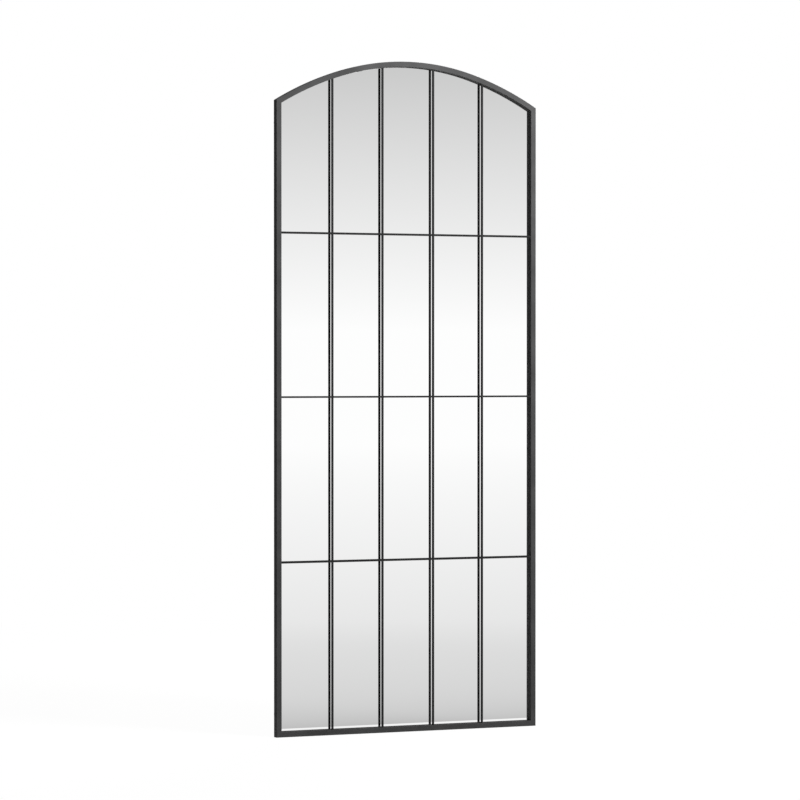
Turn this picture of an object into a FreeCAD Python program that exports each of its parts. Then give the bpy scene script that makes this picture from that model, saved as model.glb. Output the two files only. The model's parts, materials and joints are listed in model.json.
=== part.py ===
import FreeCAD, Part
import math
import os

# Arched window mirror: a welded tube frame with a shallow arch, a thin grille of bars at its
# front, and a silvered glass sheet set back behind the grille. It hangs on two rings.
#
# Lengths are in millimetres and angles in degrees. X runs across the mirror, Y from the front
# to the wall, Z up. The origin lies on the wall, midway between the two wall hooks, at the
# height where the raised rings hang on them.

Vector = FreeCAD.Vector

# Overall
overall_width = 760.0
overall_height = 1800.0      # underside of the bottom rail to the crown of the arch
arch_rise = 113.0            # crown of the arch above its two outer corners
crown_share = 0.5            # share of the half width that the crown arc spans
crown_drop_share = 0.25      # share of the rise that the crown arc takes up
hook_drop = 340.0            # wall hooks below the crown of the arch
wall_gap = 8.0               # back of the frame to the wall

# Frame tube
frame_face = 14.5            # width seen from the front
frame_depth = 20.0
tube_wall = 1.2
tube_corner_radius = 1.0     # outer corners of the tube's section

# Grille
bar_width = 4.6
bar_depth = 5.6
bar_setback = 0.5            # front of the bars behind the front of the frame
mullion_shares = (-0.6, -0.203, 0.203, 0.6)      # places as shares of half the opening's width
transom_shares = (0.257, 0.5004, 0.7425)         # levels as shares of the overall height

# Glass and backing
glass_thickness = 3.0
edge_clearance = 0.5         # glass and board to the inside of the frame
tape_thickness = 1.0
tape_width = 25.0
tape_margin = 60.0           # ends of the tape strips to the edge of the frame
board_thickness = 2.0

# Retaining tabs
tab_width = 16.0
tab_thickness = 1.5
tab_on_frame = 11.0
tab_on_board = 18.0
bolt_inset = 11.0            # bolt centre to the inside of the frame
tab_end_distance = 130.0     # lowest and highest side tabs to the rail below and above them
lower_tab_count = 3          # side tabs on each stile below the hanging rail
bottom_tab_spacing = 360.0
arch_tab_angle = 12.0        # arch tabs either side of the crown

# Screws, bolts and rivets
fit_gap = 0.1                # round shank to its hole, all round
screw_radius = 1.75
screw_length = 7.0
screw_head_radius = 3.5
screw_head_height = 2.0
bolt_radius = 2.0
bolt_head_radius = 4.0
bolt_head_height = 0.8
bolt_end = 0.5               # bolt end past its nut
nut_width = 7.0
nut_height = 3.0
rivet_radius = 1.6
rivet_head_radius = 3.0
rivet_head_height = 1.0
rivet_first = 8.0            # hinge of the ring to the nearer rivet
rivet_pitch = 7.5

# Hanging rail and ring hangers
rail_height = 36.0
rail_thickness = 2.5
rail_end_inset = 2.0         # ends of the rail to the outside of the stiles
rail_screw_pitch = 22.0
hook_spacing = 500.0
strap_width = 13.5
strap_length = 24.0
strap_thickness = 1.0
hinge_edge_distance = 4.0    # hinge of the ring below the top edge of the rail
hinge_lift = 0.35            # raised ring's wire to the face of its strap
hinge_play = 0.1             # ring wire in the curl of its strap, all round
wire_radius = 1.25
ring_width = 20.0            # inside
ring_leg = 10.0
ring_corner_radius = 3.0     # centre line of the wire

# Wall bumpers
bumper_diameter = 10.0
bumper_inset = 1.5           # bumper to the inner edge of the stile
bumper_end_distance = 60.0   # bumpers to the foot of the frame and to its outer corners

# Levels that the sizes above give
half_width = overall_width / 2
inner_half_width = half_width - frame_face
crown_z = hook_drop
bottom_z = crown_z - overall_height
corner_z = crown_z - arch_rise
back_y = -wall_gap
front_y = back_y - frame_depth
board_y = back_y - board_thickness
tape_y = board_y - tape_thickness
glass_y = tape_y - glass_thickness
bar_y = front_y + bar_setback
bar_middle_y = bar_y + bar_depth / 2
tab_back_y = back_y + tab_thickness
rail_back_y = back_y + rail_thickness
bow_radius = ring_width / 2 + wire_radius
hinge_z = wire_radius - ring_leg - bow_radius
hinge_y = rail_back_y + strap_thickness + hinge_lift + wire_radius
rail_top_z = hinge_z + hinge_edge_distance
rail_bottom_z = rail_top_z - rail_height
rail_middle_z = (rail_top_z + rail_bottom_z) / 2
sides = {"left": -1, "right": 1}


class Arch:
    """Three tangent arcs: one over the crown and one down to each outer corner."""

    def __init__(self):
        self.joint_x = crown_share * half_width
        drop = crown_drop_share * arch_rise
        self.joint_z = crown_z - drop
        self.crown_radius = (self.joint_x ** 2 + drop ** 2) / (2 * drop)
        self.crown_center_z = crown_z - self.crown_radius
        self.joint_angle = math.asin(self.joint_x / self.crown_radius)
        sine = math.sin(self.joint_angle)
        cosine = math.cos(self.joint_angle)
        across = half_width - self.joint_x
        down = corner_z - self.joint_z
        self.side_radius = -(across ** 2 + down ** 2) / (2 * (across * sine + down * cosine))
        self.side_center_x = self.joint_x - self.side_radius * sine
        self.side_center_z = self.joint_z - self.side_radius * cosine

    def crown_point(self, angle, inset):
        """Point on the crown arc, the angle measured from straight up."""
        radius = self.crown_radius - inset
        return radius * math.sin(angle), self.crown_center_z + radius * math.cos(angle)

    def end_angle(self, inset):
        """Angle from straight up at which a side arc meets the side of the outline."""
        reach = half_width - inset - self.side_center_x
        return math.asin(reach / (self.side_radius - inset))

    def side_point(self, angle, inset, side):
        """Point on a side arc; side is -1 on the left and 1 on the right."""
        radius = self.side_radius - inset
        x = self.side_center_x + radius * math.sin(angle)
        z = self.side_center_z + radius * math.cos(angle)
        return side * x, z


arch = Arch()


def point(x, z, y=0.0):
    return Vector(x, y, z)


def line(first, last):
    return Part.LineSegment(first, last).toShape()


def arch_arcs(inset, end, y):
    """The arch's three arcs from left to right, moved inwards, and its left and right ends."""
    joint = arch.joint_angle
    middle = (end + joint) / 2
    stops = [
        arch.side_point(end, inset, -1), arch.side_point(middle, inset, -1),
        arch.crown_point(-joint, inset), arch.crown_point(0.0, inset),
        arch.crown_point(joint, inset),
        arch.side_point(middle, inset, 1), arch.side_point(end, inset, 1)]
    stops = [point(x, z, y) for x, z in stops]
    arcs = [Part.Arc(*stops[first:first + 3]).toShape() for first in (0, 2, 4)]
    return arcs, stops[0], stops[-1]


def outline_wire(inset, y):
    """The mirror's outline, moved inwards by inset, in a plane across Y."""
    half = half_width - inset
    low = bottom_z + inset
    arcs, left_corner, right_corner = arch_arcs(inset, arch.end_angle(inset), y)
    left_foot = point(-half, low, y)
    right_foot = point(half, low, y)
    edges = [
        line(right_corner, right_foot),
        line(right_foot, left_foot),
        line(left_foot, left_corner),
    ]
    return Part.Wire(arcs + edges)


def outline_plate(inset, y_front, y_back):
    """Solid plate with the mirror's outline."""
    face = Part.Face(outline_wire(inset, y_front))
    return face.extrude(Vector(0, y_back - y_front, 0))


def polygon_plate(corners, y_front, y_back):
    """Straight-sided plate from its corners in X and Z."""
    loop = [point(x, z, y_front) for x, z in corners + corners[:1]]
    return Part.Face(Part.makePolygon(loop)).extrude(Vector(0, y_back - y_front, 0))


def block(x_low, x_high, y_low, y_high, z_low, z_high):
    size = (x_high - x_low, y_high - y_low, z_high - z_low)
    return Part.makeBox(*size, Vector(x_low, y_low, z_low))


def rod(x, z, radius, y_low, y_high):
    """Round bar along Y."""
    return Part.makeCylinder(radius, y_high - y_low, Vector(x, y_low, z), Vector(0, 1, 0))


def save(name, *solids):
    shape = solids[0] if len(solids) == 1 else Part.makeCompound(list(solids))
    shape.exportStep("parts/" + name + ".step")


# Places of the fasteners

class Tab:
    """A retaining tab at the inner edge of the frame; (in_x, in_z) points into the opening."""

    def __init__(self, edge_x, edge_z, in_x, in_z):
        self.edge = (edge_x, edge_z)
        self.inward = (in_x, in_z)

    def at(self, inward, along=0.0):
        x = self.edge[0] + inward * self.inward[0] - along * self.inward[1]
        z = self.edge[1] + inward * self.inward[1] + along * self.inward[0]
        return x, z


def tab_places():
    """Side tabs, then those on the bottom rail and the arch."""
    lowest = bottom_z + tab_end_distance
    highest = rail_bottom_z - tab_end_distance
    step = (highest - lowest) / (lower_tab_count - 1)
    heights = [lowest + step * number for number in range(lower_tab_count)]
    heights.append((rail_top_z + corner_z) / 2)
    places = []
    for side in sides.values():
        for height in heights:
            places.append(Tab(side * inner_half_width, height, -side, 0.0))
        places.append(Tab(side * bottom_tab_spacing / 2, bottom_z + frame_face, 0.0, 1.0))
        angle = math.radians(side * arch_tab_angle)
        x, z = arch.crown_point(angle, frame_face)
        places.append(Tab(x, z, -math.sin(angle), -math.cos(angle)))
    return places


def rail_screw_places():
    x = half_width - frame_face / 2
    reach = rail_screw_pitch / 2
    return [(side * x, rail_middle_z + way * reach) for side in (-1, 1) for way in (-1, 1)]


def rivet_places(side):
    x = side * hook_spacing / 2
    return [(x, hinge_z - rivet_first - rivet_pitch * number) for number in range(2)]


tabs = tab_places()


def drill(shape, centers, radius, y_low, y_high):
    """Cut round holes along Y through a shape, each with the common fit gap."""
    for x, z in centers:
        shape = shape.cut(rod(x, z, radius + fit_gap, y_low, y_high))
    return shape


# Frame

def arch_band():
    """The arch's tube before it is hollowed, run on past both corners."""
    end = arch.end_angle(0.0) + 2 * frame_face / arch.side_radius
    outer, outer_left, outer_right = arch_arcs(0.0, end, front_y)
    inner, inner_left, inner_right = arch_arcs(frame_face, end, front_y)
    edges = outer + [line(outer_right, inner_right)] + inner[::-1] + [line(inner_left, outer_left)]
    return Part.Face(Part.Wire(edges)).extrude(Vector(0, frame_depth, 0))


def tube_core():
    """The hollow inside of the tube, all round the frame."""
    inside_front = front_y + tube_wall
    inside_back = back_y - tube_wall
    core = outline_plate(tube_wall, inside_front, inside_back)
    return core.cut(outline_plate(frame_face - tube_wall, inside_front, inside_back))


def frame_members():
    """Four lengths of tube with rounded corners, mitred where they meet."""
    inner_corner_z = arch.side_point(arch.end_angle(frame_face), frame_face, 1)[1]
    inner_low = bottom_z + frame_face
    bars = {
        "bottom_rail": block(-half_width, half_width, front_y, back_y, bottom_z, inner_low),
        "arch_head": arch_band(),
    }
    regions = {
        "bottom_rail": [
            (-half_width, bottom_z), (half_width, bottom_z),
            (inner_half_width, inner_low), (-inner_half_width, inner_low)],
        "arch_head": [
            (-half_width, corner_z), (-inner_half_width, inner_corner_z),
            (inner_half_width, inner_corner_z), (half_width, corner_z),
            (half_width, crown_z), (-half_width, crown_z)],
    }
    for word, side in sides.items():
        name = word + "_stile"
        low, high = sorted([side * half_width, side * inner_half_width])
        bars[name] = block(low, high, front_y, back_y, bottom_z, crown_z)
        regions[name] = [
            (side * half_width, bottom_z), (side * half_width, corner_z),
            (side * inner_half_width, inner_corner_z), (side * inner_half_width, inner_low)]
    core = tube_core()
    screws = [tab.at(-frame_face / 2) for tab in tabs] + rail_screw_places()
    members = {}
    for name, bar in bars.items():
        long_edges = [edge for edge in bar.Edges if edge.Length > 2 * frame_depth]
        bar = bar.makeFillet(tube_corner_radius, long_edges)
        member = bar.common(polygon_plate(regions[name], front_y, back_y)).cut(core)
        member = drill(member, screws, screw_radius, back_y - tube_wall, back_y)
        members[name] = member.Solids[0]
    return members


# Grille

mullion_places = [share * inner_half_width for share in mullion_shares]
transom_heights = [bottom_z + share * overall_height for share in transom_shares]
transom_levels = dict(zip(("lower", "middle", "upper"), transom_heights))


def mullion(x):
    """Upright bar, halved at its front where the transoms cross it."""
    half = bar_width / 2
    bar = block(x - half, x + half, bar_y, bar_y + bar_depth, bottom_z, crown_z)
    bar = bar.common(outline_plate(frame_face, bar_y, bar_y + bar_depth))
    for level in transom_levels.values():
        bar = bar.cut(block(x - half, x + half, bar_y, bar_middle_y, level - half, level + half))
    return bar


def transom(level):
    """Cross bar, halved at its back where it crosses the mullions."""
    half = bar_width / 2
    back = bar_y + bar_depth
    bar = block(-inner_half_width, inner_half_width, bar_y, back, level - half, level + half)
    for x in mullion_places:
        bar = bar.cut(block(x - half, x + half, bar_middle_y, back, level - half, level + half))
    return bar


# Glass and backing

def tape_strips():
    """Soft double-sided strips between glass and board, one down each column."""
    room = outline_plate(frame_face + tape_margin, tape_y, board_y)
    edges = [-inner_half_width] + mullion_places + [inner_half_width]
    half = tape_width / 2
    strips = []
    for left, right in zip(edges, edges[1:]):
        x = (left + right) / 2
        strips.append(block(x - half, x + half, tape_y, board_y, bottom_z, crown_z).common(room))
    return strips


def backing_board():
    board = outline_plate(frame_face + edge_clearance, board_y, back_y)
    return drill(board, [tab.at(bolt_inset) for tab in tabs], bolt_radius, board_y, back_y)


# Retaining tabs and their fasteners

def tab_plate(tab):
    half = tab_width / 2
    corners = [
        tab.at(-tab_on_frame, -half), tab.at(tab_on_board, -half),
        tab.at(tab_on_board, half), tab.at(-tab_on_frame, half)]
    plate = polygon_plate(corners, back_y, tab_back_y)
    plate = drill(plate, [tab.at(-frame_face / 2)], screw_radius, back_y, tab_back_y)
    return drill(plate, [tab.at(bolt_inset)], bolt_radius, back_y, tab_back_y)


def screw(x, z, seat_y):
    """Pan head screw whose head sits on seat_y and whose shank runs into the tube."""
    head = rod(x, z, screw_head_radius, seat_y, seat_y + screw_head_height)
    head = head.makeFillet(screw_head_height / 2, [head.Edges[0]])
    return head.fuse(rod(x, z, screw_radius, seat_y - screw_length, seat_y)).removeSplitter()


def bolt(x, z):
    """Flat headed bolt through board and tab, its head in the gap that the tape leaves."""
    head = rod(x, z, bolt_head_radius, board_y - bolt_head_height, board_y)
    shank = rod(x, z, bolt_radius, board_y, tab_back_y + nut_height + bolt_end)
    return head.fuse(shank).removeSplitter()


def nut(x, z):
    corner = nut_width / math.sqrt(3)
    corners = [(x + corner * math.cos(math.radians(60 * number)),
                z + corner * math.sin(math.radians(60 * number))) for number in range(6)]
    body = polygon_plate(corners, tab_back_y, tab_back_y + nut_height)
    return drill(body, [(x, z)], bolt_radius, tab_back_y, tab_back_y + nut_height)


# Hanging rail and ring hangers

def hanging_rail():
    end = half_width - rail_end_inset
    rail = block(-end, end, back_y, rail_back_y, rail_bottom_z, rail_top_z)
    rail = drill(rail, rail_screw_places(), screw_radius, back_y, rail_back_y)
    rivets = rivet_places(-1) + rivet_places(1)
    return drill(rail, rivets, rivet_radius, back_y, rail_back_y)


def hanger_strap(side):
    """Plate on the rail whose upper end curls round the wire of the ring."""
    x = side * hook_spacing / 2
    half = strap_width / 2
    back = rail_back_y + strap_thickness
    plate = block(x - half, x + half, rail_back_y, back, hinge_z - strap_length, hinge_z)
    bore_radius = wire_radius + hinge_play
    start = Vector(x - half, hinge_y, hinge_z)
    along = Vector(1, 0, 0)
    curl = Part.makeCylinder(bore_radius + strap_thickness, strap_width, start, along)
    bore = Part.makeCylinder(bore_radius, strap_width, start, along)
    strap = plate.fuse(curl).cut(bore).removeSplitter()
    return drill(strap, rivet_places(side), rivet_radius, rail_back_y, back)


def rivet(x, z):
    seat = rail_back_y + strap_thickness
    head = rod(x, z, rivet_head_radius, seat, seat + rivet_head_height)
    head = head.makeFillet(rivet_head_height / 2, [head.Edges[0]])
    return head.fuse(rod(x, z, rivet_radius, back_y, seat)).removeSplitter()


def hanger_ring(side):
    """Raised ring: a straight bar in the curl, two legs and a round bow on top."""
    center_x = side * hook_spacing / 2
    reach = bow_radius
    foot = bow_radius - ring_corner_radius
    rounding = ring_corner_radius * (1 - math.sqrt(0.5))

    def place(across, height):
        return Vector(center_x + across, hinge_y, hinge_z + height)

    def line(first, last):
        return Part.LineSegment(place(*first), place(*last)).toShape()

    def arc(first, through, last):
        return Part.Arc(place(*first), place(*through), place(*last)).toShape()

    path = Part.Wire([
        line((0, 0), (foot, 0)),
        arc((foot, 0), (reach - rounding, rounding), (reach, ring_corner_radius)),
        line((reach, ring_corner_radius), (reach, ring_leg)),
        arc((reach, ring_leg), (0, ring_leg + bow_radius), (-reach, ring_leg)),
        line((-reach, ring_leg), (-reach, ring_corner_radius)),
        arc((-reach, ring_corner_radius), (rounding - reach, rounding), (-foot, 0)),
        line((-foot, 0), (0, 0)),
    ])
    section = Part.Wire(Part.makeCircle(wire_radius, place(0, 0), Vector(1, 0, 0)))
    return path.makePipeShell([section], True, True)


# Wall bumpers

def wall_bumpers():
    """Rubber buttons on the backs of the stiles that keep the frame off the wall."""
    radius = bumper_diameter / 2
    x = inner_half_width + bumper_inset + radius
    levels = [bottom_z + bumper_end_distance, corner_z - bumper_end_distance]
    return [rod(side * x, z, radius, back_y, 0.0) for side in (-1, 1) for z in levels]


def save_all():
    os.makedirs("parts", exist_ok=True)
    for name, member in frame_members().items():
        save(name, member)
    for number, x in enumerate(mullion_places, 1):
        save("mullion_" + str(number), mullion(x))
    for word, level in transom_levels.items():
        save("transom_" + word, transom(level))
    save("mirror_glass", outline_plate(frame_face + edge_clearance, glass_y, tape_y))
    save("mounting_tape", *tape_strips())
    save("backing_board", backing_board())
    save("retaining_tabs", *[tab_plate(tab) for tab in tabs])
    save("tab_screws", *[screw(*tab.at(-frame_face / 2), tab_back_y) for tab in tabs])
    save("tab_bolts", *[bolt(*tab.at(bolt_inset)) for tab in tabs])
    save("tab_nuts", *[nut(*tab.at(bolt_inset)) for tab in tabs])
    save("hanging_rail", hanging_rail())
    save("rail_screws", *[screw(x, z, rail_back_y) for x, z in rail_screw_places()])
    for word, side in sides.items():
        save("hanger_strap_" + word, hanger_strap(side))
        save("hanger_ring_" + word, hanger_ring(side))
    save("hanger_rivets", *[rivet(x, z) for side in (-1, 1) for x, z in rivet_places(side)])
    save("wall_bumpers", *wall_bumpers())


save_all()
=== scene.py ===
import json
import math
import bmesh
import bpy
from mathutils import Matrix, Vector


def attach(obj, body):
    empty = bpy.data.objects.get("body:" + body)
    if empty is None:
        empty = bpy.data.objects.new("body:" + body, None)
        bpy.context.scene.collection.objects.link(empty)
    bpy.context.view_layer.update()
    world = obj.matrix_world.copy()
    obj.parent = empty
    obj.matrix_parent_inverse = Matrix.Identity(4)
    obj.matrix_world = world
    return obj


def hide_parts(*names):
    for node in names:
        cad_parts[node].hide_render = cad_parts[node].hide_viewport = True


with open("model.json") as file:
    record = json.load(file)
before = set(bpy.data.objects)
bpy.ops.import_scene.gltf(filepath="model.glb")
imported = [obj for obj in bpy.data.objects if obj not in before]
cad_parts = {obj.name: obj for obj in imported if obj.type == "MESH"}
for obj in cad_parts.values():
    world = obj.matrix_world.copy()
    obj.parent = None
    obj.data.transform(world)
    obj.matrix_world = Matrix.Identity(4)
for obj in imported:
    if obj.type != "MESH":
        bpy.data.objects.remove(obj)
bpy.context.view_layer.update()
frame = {"nodes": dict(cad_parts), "record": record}
nodes = frame["nodes"]
mm = 0.001
print("frame loaded:", len(nodes), "pieces")


# Shader writing

class Value:             # a shader socket that can stand in a sum
    def __init__(self, tree, socket):
        self.tree = tree
        self.socket = socket

    def calc(self, operation, first, second):
        return self.tree.add("ShaderNodeMath", {"operation": operation}, {0: first, 1: second})

    def __add__(self, other):
        return self.calc("ADD", self, other)

    def __radd__(self, other):
        return self.calc("ADD", other, self)

    def __sub__(self, other):
        return self.calc("SUBTRACT", self, other)

    def __rsub__(self, other):
        return self.calc("SUBTRACT", other, self)

    def __mul__(self, other):
        return self.calc("MULTIPLY", self, other)

    def __rmul__(self, other):
        return self.calc("MULTIPLY", other, self)

    def __gt__(self, other):                         # 1 where it holds, 0 elsewhere
        return self.calc("GREATER_THAN", self, other)

    def __lt__(self, other):
        return self.calc("LESS_THAN", self, other)

    def atLeast(self, other):
        return self.calc("MAXIMUM", self, other)

    def atMost(self, other):
        return self.calc("MINIMUM", self, other)

    def log(self):
        return self.calc("LOGARITHM", self, math.e)


class Tree:              # a node tree, filled by one method
    def __init__(self, owner):
        owner.use_nodes = True
        self.nodeTree = owner.node_tree
        self.nodeTree.nodes.clear()

    def add(self, kind, settings=None, sockets=None, output=0):
        node = self.nodeTree.nodes.new(kind)
        for name, setting in (settings or {}).items():
            setattr(node, name, setting)
        for name, value in (sockets or {}).items():
            if isinstance(value, Value):
                self.nodeTree.links.new(value.socket, node.inputs[name])
            else:
                node.inputs[name].default_value = value
        return Value(self, node.outputs[output]) if len(node.outputs) else None

    def mixColours(self, share, first, second):
        sockets = {0: share, 6: first, 7: second}
        return self.add("ShaderNodeMix", {"data_type": "RGBA"}, sockets, 2)

    def noise(self, where, size, detail, roughness=0.5):     # size is one lump, in metres
        sockets = {"Vector": where, "Scale": 1.0 / size, "Detail": detail, "Roughness": roughness}
        return self.add("ShaderNodeTexNoise", None, sockets)

    def spread(self, value, old, new):                       # old pair of ends to new pair, clamped
        names = ("Value", "From Min", "From Max", "To Min", "To Max")
        return self.add("ShaderNodeMapRange", None, dict(zip(names, (value, *old, *new))))

    def bump(self, height, depth):                           # depth in metres
        sockets = {"Height": height, "Distance": depth, "Strength": 1.0}
        return self.add("ShaderNodeBump", None, sockets)

    def place(self, x=1, y=1, z=1):                          # a low number stretches along that axis
        point = self.add("ShaderNodeTexCoord", output="Object")
        return self.add("ShaderNodeMapping", None, {"Vector": point, "Scale": (x, y, z)})

    def part(self, vector, axis):
        return self.add("ShaderNodeSeparateXYZ", None, {0: vector}, axis)

    def principled(self, sockets):
        return self.add("ShaderNodeBsdfPrincipled", None, sockets)

    def finish(self, shader):
        self.add("ShaderNodeOutputMaterial", None, {"Surface": shader})


def newFinish(name):
    material = bpy.data.materials.new(name)
    return material, Tree(material)


def colour(red, green, blue):
    return (red, green, blue, 1.0)


# Finishes

noiseEnds = (0.3, 0.7)                               # most of a noise lies between these
whole = (0.0, 1.0)


def powderCoat(name, shade):
    user = {"paint": colour(shade, shade, shade * 1.01), "lift": 1.4,    # palest over darkest
            "specular": 0.1, "roughness": (0.48, 0.62), "sheenEnds": (0.35, 0.65),
            "cloudSize": 60 * mm, "cloudEnds": (0.35, 0.65), "cloudShare": (0.0, 0.7),
            "speckSize": 0.35 * mm, "speckEnds": (0.55, 0.75), "speckShare": (0.0, 0.3),
            "peelSize": 1.3 * mm, "peelDepth": 0.08 * mm}
    material, tree = newFinish(name)
    paler = colour(*[channel * user["lift"] for channel in user["paint"][:3]])
    place = tree.place()
    cloud = tree.noise(place, user["cloudSize"], 3.0)
    speck = tree.noise(place, user["speckSize"], 1.0)
    peel = tree.noise(place, user["peelSize"], 2.0)
    share = (tree.spread(cloud, user["cloudEnds"], user["cloudShare"])
             + tree.spread(speck, user["speckEnds"], user["speckShare"]))
    sheen = speck * 0.5 + cloud * 0.5
    tree.finish(tree.principled({
        "Base Color": tree.mixColours(share, user["paint"], paler),
        "Specular IOR Level": user["specular"],
        "Roughness": tree.spread(sheen, user["sheenEnds"], user["roughness"]),
        "Normal": tree.bump(peel, user["peelDepth"])}))
    return material


def zincPlate():
    user = {"metal": colour(0.60, 0.61, 0.62), "dull": colour(0.42, 0.42, 0.43),
            "roughness": (0.26, 0.44), "grainSize": 3.0 * mm, "drawn": 8,
            "scratchDepth": 0.008 * mm}
    material, tree = newFinish("brightZincPlate")
    cloud = tree.noise(tree.place(), user["grainSize"], 4.0, 0.6)
    streak = tree.noise(tree.place(user["drawn"], user["drawn"], 1), user["grainSize"], 3.0, 0.7)
    share = tree.spread(cloud, noiseEnds, whole)
    tree.finish(tree.principled({
        "Base Color": tree.mixColours(share, user["metal"], user["dull"]),
        "Metallic": 1.0,
        "Roughness": tree.spread(cloud * 0.5 + streak * 0.5, noiseEnds, user["roughness"]),
        "Normal": tree.bump(streak, user["scratchDepth"])}))
    return material


def hardboard():
    user = {"dark": colour(0.155, 0.083, 0.042), "light": colour(0.31, 0.19, 0.105),
            "patchSize": 90 * mm, "patchShare": (-0.1, 0.3), "roughness": (0.5, 0.72),
            "fibreSize": 1.1 * mm, "fibreStretch": 0.25, "fibreEnds": (0.36, 0.64),
            "fibreShare": (0.0, 0.75), "fibreDepth": 0.05 * mm}
    material, tree = newFinish("brownHardboard")
    stretch = user["fibreStretch"]
    patch = tree.noise(tree.place(), user["patchSize"], 4.0, 0.55)
    along = tree.noise(tree.place(1, 1, stretch), user["fibreSize"], 4.0, 0.65)
    across = tree.noise(tree.place(stretch, 1, 1), user["fibreSize"], 4.0, 0.65)
    fibre = along * 0.5 + across * 0.5
    share = (tree.spread(fibre, user["fibreEnds"], user["fibreShare"])
             + tree.spread(patch, noiseEnds, user["patchShare"]))
    tree.finish(tree.principled({
        "Base Color": tree.mixColours(share, user["dark"], user["light"]),
        "Roughness": tree.spread(fibre, noiseEnds, user["roughness"]),
        "Normal": tree.bump(fibre, user["fibreDepth"])}))
    return material


def grained(name, user):                             # one grain sets its colour, sheen and relief
    material, tree = newFinish(name)
    grain = tree.noise(tree.place(), user["grainSize"], user["detail"], 0.6)
    share = tree.spread(grain, user["fleckEnds"], whole)
    tree.finish(tree.principled({
        "Base Color": tree.mixColours(share, user["main"], user["fleck"]),
        "Roughness": tree.spread(grain, noiseEnds, user["roughness"]),
        "Normal": tree.bump(grain, user["grainDepth"])}))
    return material


def foamTape():
    user = {"main": colour(0.72, 0.72, 0.70), "fleck": colour(0.45, 0.45, 0.43),
            "grainSize": 0.5 * mm, "detail": 3.0, "fleckEnds": (0.5, 0.75),
            "roughness": (0.8, 0.95), "grainDepth": 0.1 * mm}
    return grained("whiteFoamTape", user)


def bumperRubber():
    user = {"main": colour(0.018, 0.018, 0.019), "fleck": colour(0.04, 0.04, 0.042),
            "grainSize": 0.8 * mm, "detail": 4.0, "fleckEnds": (0.4, 0.7),
            "roughness": (0.62, 0.85), "grainDepth": 0.04 * mm}
    return grained("blackBumperRubber", user)


def silveredGlass():
    user = {"silver": colour(0.985, 0.987, 0.986), "polish": (0.0, 0.004), "dustSize": 40 * mm,
            "backPaint": colour(0.21, 0.225, 0.23), "backRoughness": (0.3, 0.5),
            "backGrain": 2 * mm, "edge": colour(0.16, 0.30, 0.24),
            "faceTurn": 0.9}                         # Y of the normal beyond which a face is flat on
    material, tree = newFinish("silveredMirror")
    place = tree.place()
    facing = tree.part(tree.add("ShaderNodeNewGeometry", output="Normal"), "Y")
    dust = tree.noise(place, user["dustSize"], 3.0)
    silver = tree.principled({
        "Base Color": user["silver"],
        "Metallic": 1.0,
        "Roughness": tree.spread(dust, noiseEnds, user["polish"])})
    grain = tree.noise(place, user["backGrain"], 3.0)
    paint = tree.mixColours(facing > user["faceTurn"], user["edge"], user["backPaint"])
    back = tree.principled({
        "Base Color": paint,
        "Roughness": tree.spread(grain, noiseEnds, user["backRoughness"])})
    sockets = {0: facing < -user["faceTurn"], 1: back, 2: silver}
    tree.finish(tree.add("ShaderNodeMixShader", None, sockets))
    return material


shades = {"frame": 0.06, "bars": 0.022}              # how light the coat is on each; the bars wear the frame's paint, made darker as painted shade
finishes = {
    "frame_paint": powderCoat("satinCharcoalCoat", shades["frame"]),
    "silvered_glass": silveredGlass(),
    "foam_tape": foamTape(),
    "fibreboard": hardboard(),
    "zinc_steel": zincPlate(),
    "black_rubber": bumperRubber(),
}
for part in frame["record"]["subparts"]:
    mesh = nodes[part["node"]].data
    mesh.materials.clear()
    mesh.materials.append(finishes[part["material_slot"]])
# the bars get a darker copy of the frame's coat: painted shade
barCoatPaintedShade = powderCoat("satinCharcoalBarCoatPaintedShade", shades["bars"])
for name in nodes:
    if name.startswith(("mullion", "transom")):
        nodes[name].data.materials[0] = barCoatPaintedShade
print("finishes made:", len(finishes) + 1)


# Fasteners

def link(thing):
    bpy.context.scene.collection.objects.link(thing)
    return thing


def solidBoxes(name):                                # lowest and highest corner of each solid in a node
    weld = 0.002 * mm                                # closer points are one
    shape = bmesh.new()
    shape.from_mesh(nodes[name].data)
    bmesh.ops.remove_doubles(shape, verts=shape.verts, dist=weld)
    left = set(shape.verts)
    boxes = []
    while left:
        front = [left.pop()]
        group = []
        while front:
            vertex = front.pop()
            group.append(vertex.co.copy())
            for edge in vertex.link_edges:
                other = edge.other_vert(vertex)
                if other in left:
                    left.remove(other)
                    front.append(other)
        boxes.append([Vector([pick(spot[axis] for spot in group) for axis in range(3)])
                      for pick in (min, max)])
    shape.free()
    return sorted(boxes, key=lambda box: tuple(round(part, 5) for part in box[0]))


def lathe(profile, sides):                           # profile: radius and Y, turned round the Y axis
    points = []
    faces = []
    for radius, y in profile:
        for number in range(sides):
            angle = 2 * math.pi * number / sides
            points.append((radius * math.cos(angle), y, radius * math.sin(angle)))
    for low in range(0, (len(profile) - 1) * sides, sides):
        high = low + sides
        for number in range(sides):
            after = (number + 1) % sides
            faces.append((low + number, high + number, high + after, low + after))
    last = (len(profile) - 1) * sides
    faces.append(tuple(range(sides)))
    faces.append(tuple(last + number for number in reversed(range(sides))))
    return points, faces


def looseObject(name, points, faces):
    mesh = bpy.data.meshes.new(name)
    mesh.from_pydata(points, [], faces)
    shape = bmesh.new()
    shape.from_mesh(mesh)
    bmesh.ops.recalc_face_normals(shape, faces=shape.faces)
    shape.to_mesh(mesh)
    shape.free()
    return link(bpy.data.objects.new(name, mesh))


def carved(body, tools):                             # tools: pairs of an object and what it does
    for tool, operation in tools:
        cut = body.modifiers.new("cut", "BOOLEAN")
        cut.object = tool
        cut.operation = operation
        cut.solver = "EXACT"
    graph = bpy.context.evaluated_depsgraph_get()
    mesh = bpy.data.meshes.new_from_object(body.evaluated_get(graph))
    for thing in [body] + [tool for tool, operation in tools]:
        bpy.data.objects.remove(thing)
    return mesh


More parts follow.
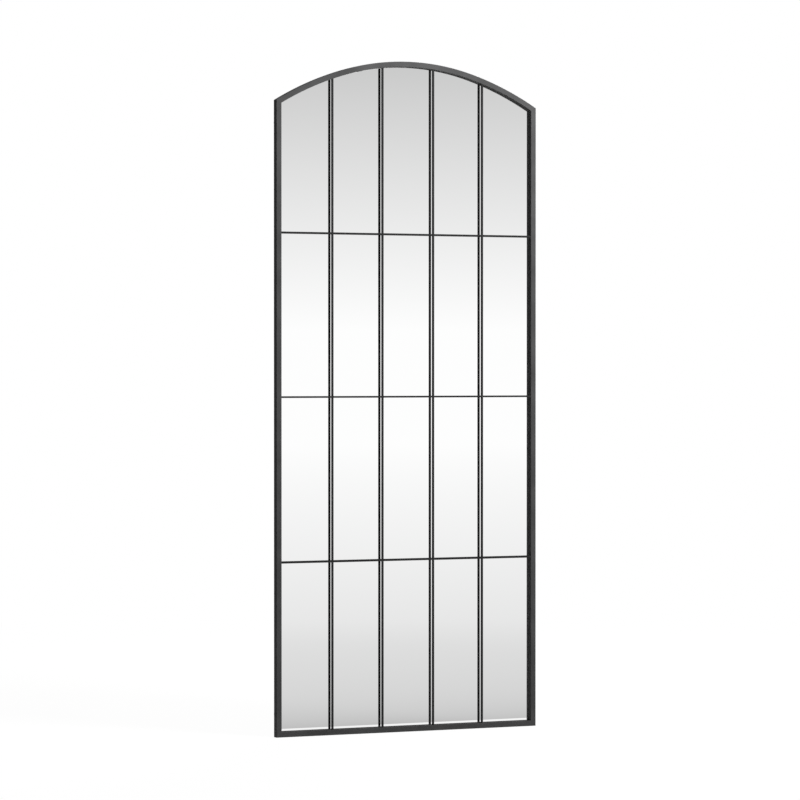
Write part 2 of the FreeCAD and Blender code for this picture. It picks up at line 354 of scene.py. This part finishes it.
def wedge(name, half, width, taper, bottom, top):    # one arm of a cross recess
    points = []
    for share, y in ((taper, bottom), (1.0, top)):
        for x, z in ((-1, -1), (1, -1), (1, 1), (-1, 1)):
            points.append((x * half * share, y, z * width))
    faces = [(0, 1, 2, 3), (4, 5, 6, 7), (0, 1, 5, 4), (1, 2, 6, 5), (2, 3, 7, 6), (3, 0, 4, 7)]
    return looseObject(name, points, faces)


def screwMesh(box):
    user = {"headHeight": 2.0 * mm, "rounding": 1.1 * mm, "crown": 0.15 * mm, "crownShare": 0.3,
            "shankShare": 0.5, "tip": 0.7 * mm, "tipShare": 0.5, "recessHalf": 1.9 * mm,
            "recessWidth": 0.38 * mm, "recessDepth": 1.1 * mm, "recessTaper": 0.55,
            "recessTurn": 45, "sides": 32, "roundSteps": 6}
    head = (box[1].x - box[0].x) / 2
    length = box[1].y - box[0].y - user["headHeight"]
    shank = head * user["shankShare"]
    rounding = user["rounding"]
    shoulder = user["headHeight"] - user["crown"] - rounding
    profile = [(shank * user["tipShare"], -length), (shank, user["tip"] - length),
               (shank, 0.0), (head, 0.0)]
    for step in range(user["roundSteps"] + 1):
        angle = math.pi / 2 * step / user["roundSteps"]
        profile.append((head - rounding + rounding * math.cos(angle),
                        shoulder + rounding * math.sin(angle)))
    profile.append((head * user["crownShare"], user["headHeight"]))
    body = looseObject("screwBody", *lathe(profile, user["sides"]))
    recessFloor = user["headHeight"] - user["recessDepth"]
    arms = []
    for turn in (user["recessTurn"], user["recessTurn"] + 90):
        arm = wedge("recessArm", user["recessHalf"], user["recessWidth"], user["recessTaper"],
                    recessFloor, user["headHeight"] + mm)
        arm.rotation_euler = (0, math.radians(turn), 0)
        arms.append((arm, "DIFFERENCE"))
    bpy.context.view_layer.update()
    return carved(body, arms), user["headHeight"]


def nutMesh(box):
    user = {"bore": 2.1 * mm, "chamfer": 0.45 * mm, "faceShare": 0.97, "clear": 1.02,
            "sides": 48}
    height = box[1].y - box[0].y
    corner = (box[1].x - box[0].x) / 2
    flat = corner * math.sqrt(3) / 2
    points = [(corner * math.cos(math.pi / 3 * number), y, corner * math.sin(math.pi / 3 * number))
              for y in (0.0, height) for number in range(6)]
    faces = [tuple(range(6)), tuple(range(6, 12))]
    faces += [(number, (number + 1) % 6, (number + 1) % 6 + 6, number + 6) for number in range(6)]
    body = looseObject("nutBody", points, faces)
    chamfer = user["chamfer"]
    reach = corner * user["clear"]
    end = flat * user["faceShare"]                   # radius of each end's round face
    disc = [(end, 0.0), (reach, chamfer), (reach, height - chamfer), (end, height)]
    barrel = looseObject("nutBarrel", *lathe(disc, user["sides"]))
    bore = [(user["bore"], -mm), (user["bore"], height + mm)]
    drill = looseObject("nutDrill", *lathe(bore, user["sides"]))
    return carved(body, [(barrel, "INTERSECT"), (drill, "DIFFERENCE")]), height


def fasten(name, node, makeMesh):                    # one detailed copy at each of the node's solids
    user = {"turn": 0.7, "sharpAngle": 35}           # each is driven home a little further round
    boxes = solidBoxes(node)
    single, height = makeMesh(boxes[0])
    shape = bmesh.new()
    for number, (low, high) in enumerate(boxes):
        old = len(shape.verts)
        shape.from_mesh(single)
        shape.verts.ensure_lookup_table()
        middle = (low + high) / 2
        turn = user["turn"] * number
        for vertex in shape.verts[old:]:
            x, y, z = vertex.co
            vertex.co = (middle.x + x * math.cos(turn) + z * math.sin(turn),
                         high.y - height + y,
                         middle.z - x * math.sin(turn) + z * math.cos(turn))
    mesh = bpy.data.meshes.new(name)
    shape.to_mesh(mesh)
    shape.free()
    bpy.data.meshes.remove(single)
    mesh.materials.append(finishes["zinc_steel"])
    mesh.shade_smooth()
    mesh.set_sharp_from_angle(angle=math.radians(user["sharpAngle"]))
    piece = link(bpy.data.objects.new(name, mesh))
    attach(piece, "mirror")
    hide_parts(node)


fasten("tabScrews", "tab_screws", screwMesh)
fasten("railScrews", "rail_screws", screwMesh)
fasten("tabNuts", "tab_nuts", nutMesh)
print("fasteners made")


# Studio

def sightLines(tree):    # rays from the camera: straight, and by way of gloss or glass
    def ray(output):
        return tree.add("ShaderNodeLightPath", output=output)

    camera = ray("Is Camera Ray")
    mirrored = (ray("Is Glossy Ray") + ray("Is Transmission Ray")) * (ray("Diffuse Depth") < 0.5)
    return camera, mirrored


def makeFloor():
    user = {"level": -1.46, "reach": 40.0, "paint": colour(0.5, 0.5, 0.5),
            "front": -0.028,                         # Y of the mirror's front
            "paintedWhiteStrip": 0.172,                       # painted white strip just before the mirror, a painted reflection seen only by the mirror
            "tone": (0.698, 0.088),                  # painted shade seen only in reflections: the floor's tone at 1 m before the mirror, and per e-fold
            # painted shade: the floor behind the mirror is darker as reflections see it
            "paintedShadeBehind": 0.2,
            "shadowShare": 0.12, "shadowReach": (1.5, 4.0), "shadowLift": 0.75}
    mesh = bpy.data.meshes.new("studioFloor")
    reach = user["reach"]
    corners = [(x * reach, y * reach, user["level"]) for x, y in ((-1, -1), (1, -1), (1, 1), (-1, 1))]
    mesh.from_pydata(corners, [], [(0, 1, 2, 3)])
    link(bpy.data.objects.new("studioFloor", mesh))
    material, tree = newFinish("studioFloorPaint")
    # the floor's glow for reflections is painted shade: darker near the mirror, lighter further off,
    # darker behind it
    along = tree.part(tree.add("ShaderNodeTexCoord", output="Object"), "Y")
    depth = (user["front"] - along).atLeast(0.01)
    atOneMetre, perFold = user["tone"]
    tone = atOneMetre + perFold * depth.log()
    # the strip just before the mirror glows white in reflections: painted reflection
    tone = tone.atMost(1.0).atLeast(depth < user["paintedWhiteStrip"])
    behind = along > 0.0
    tone = tone * (1 - behind) + user["paintedShadeBehind"] * behind
    camera, mirrored = sightLines(tree)
    length = {"operation": "LENGTH"}
    radius = tree.add("ShaderNodeVectorMath", length, {0: tree.place(1, 1, 0)}, "Value")
    shadow = tree.spread(radius, user["shadowReach"], (user["shadowShare"], 0.0))
    white = camera * (1 + user["shadowLift"] * shadow)
    glow = tree.add("ShaderNodeEmission", None, {"Color": white + mirrored * tone})
    paint = tree.add("ShaderNodeBsdfDiffuse", None, {"Color": user["paint"]})
    share = (camera + mirrored) * (1 - shadow)
    tree.finish(tree.add("ShaderNodeMixShader", None, {0: share, 1: paint, 2: glow}))
    mesh.materials.append(material)


def makeWorld():
    user = {"flat": 0.011, "fall": 5.2, "lowest": 0.35,      # white up to flat, then darker upwards
            "backTone": 0.3, "backEnds": (-0.2, 0.3),        # the half behind the mirror
            "ambient": 0.1}
    world = bpy.data.worlds.new("studioWorld")
    bpy.context.scene.world = world
    tree = Tree(world)
    way = tree.add("ShaderNodeTexCoord", output="Generated")
    climb = (tree.part(way, "Z") - user["flat"]).atLeast(0.0)
    sky = (1 - user["fall"] * climb).atLeast(user["lowest"])
    behind = tree.spread(tree.part(way, "Y"), user["backEnds"], whole)
    sky = sky * (1 - behind) + user["backTone"] * behind
    camera, mirrored = sightLines(tree)
    tone = camera + mirrored * sky + (1 - camera - mirrored) * user["ambient"]
    glow = tree.add("ShaderNodeBackground", None, {"Color": tone, "Strength": 1.0})
    tree.add("ShaderNodeOutputWorld", None, {"Surface": glow})


def aim(thing, way):                                 # turns a lamp or camera to look along way
    thing.rotation_euler = way.to_track_quat("-Z", "Y").to_euler()


def makeLamps():
    user = {"keyLamp": {"place": (1.1, -2.0, 1.4), "target": (0.0, 0.0, 0.9), "size": 1.1,
                        "power": 133.0, "inGloss": False},   # the mirror and metal don't show it
            "backLamp": {"place": (2.0, 2.6, 1.2), "target": (0.0, 0.0, -0.4), "size": 1.6,
                         "power": 95.0, "inGloss": True}}
    for name, values in user.items():
        lamp = bpy.data.lights.new(name, "AREA")
        lamp.shape = "DISK"
        lamp.size = values["size"]
        lamp.energy = values["power"]
        holder = link(bpy.data.objects.new(name, lamp))
        holder.location = values["place"]
        holder.visible_glossy = values["inGloss"]
        aim(holder, Vector(values["target"]) - Vector(values["place"]))


def makeCamera():
    user = {"target": (-0.0244, -0.028, -0.568), "away": 9.125,
            "side": 23.5, "drop": 0.54,              # degrees to the left of the mirror, and down
            "lens": 153.0, "sensor": 36.0}
    side = math.radians(user["side"])
    drop = math.radians(user["drop"])
    way = Vector((-math.sin(side) * math.cos(drop), -math.cos(side) * math.cos(drop),
                  math.sin(drop)))
    data = bpy.data.cameras.new("photoCamera")
    data.sensor_width = user["sensor"]
    data.lens = user["lens"]
    camera = link(bpy.data.objects.new("photoCamera", data))
    camera.location = Vector(user["target"]) + user["away"] * way
    aim(camera, -way)
    bpy.context.scene.camera = camera


makeFloor()
makeWorld()
makeLamps()
makeCamera()
bpy.context.scene.view_settings.view_transform = "Standard"
print("studio ready")
